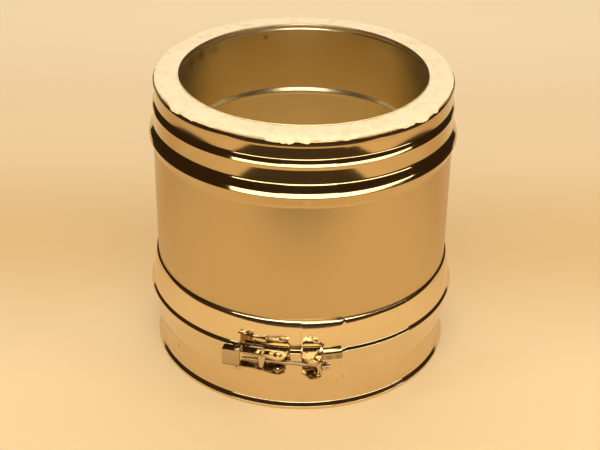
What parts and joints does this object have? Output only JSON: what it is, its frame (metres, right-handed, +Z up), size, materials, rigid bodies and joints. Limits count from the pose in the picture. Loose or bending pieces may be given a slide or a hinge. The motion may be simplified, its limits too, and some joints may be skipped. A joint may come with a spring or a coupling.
{
  "type": "insulated chimney pipe",
  "caption": "Short upright twin-wall chimney pipe with a wool-filled wall, beaded collar, widened socket and a ribbed locking band closed by a lever latch.",
  "frame": {"origin": "on the pipe's axis, in the plane of its bottom rim, where the inner tube's lower end is", "axes": "+Z up along the pipe to its socket; -Y is the side of the latch; +X runs from the latch's lever towards its catch"},
  "size_m": [0.264, 0.2872, 0.25],
  "materials": {
    "liner_steel": "satin, lightly stained",
    "casing_steel": "bright annealed",
    "mineral_wool": "fibrous, matt",
    "spacer_steel": "dull",
    "band_steel": "bright annealed",
    "latch_steel": "satin",
    "lever_steel": "satin",
    "fastener_steel": "turned, bright"
  },
  "bodies": {
    "pipe": {"inner_liner": "liner_steel", "outer_casing": "casing_steel", "insulation_left": "mineral_wool", "insulation_right": "mineral_wool", "spacer_1": "spacer_steel", "spacer_2": "spacer_steel", "spacer_3": "spacer_steel", "spacer_4": "spacer_steel", "locking_band": "band_steel", "latch_base": "latch_steel", "lever_rivet_upper": "fastener_steel", "lever_rivet_lower": "fastener_steel", "catch_hook": "latch_steel"},
    "lever": {"latch_lever": "lever_steel", "lever_screw": "fastener_steel", "lever_nut": "fastener_steel"},
    "pull_rod": {"trunnion": "fastener_steel", "draw_bolt": "fastener_steel", "cross_bar": "fastener_steel", "adjusting_nut": "fastener_steel"}
  },
  "joints": [
    {"name": "lever_hinge", "type": "hinge", "parent": "pipe", "child": "lever", "pos_m": [-0.0175, -0.1426, 0.059], "axis": [0, 0, 1], "range_deg": [0, 95]},
    {"name": "rod_hinge", "type": "hinge", "parent": "lever", "child": "pull_rod", "pos_m": [-0.03015, -0.13961, 0.059], "axis": [0, 0, 1], "range_deg": [-70, 0]}
  ],
  "couplings": [
    {"joint": "rod_hinge", "follows": "lever_hinge", "ratio": -0.72}
  ]
}
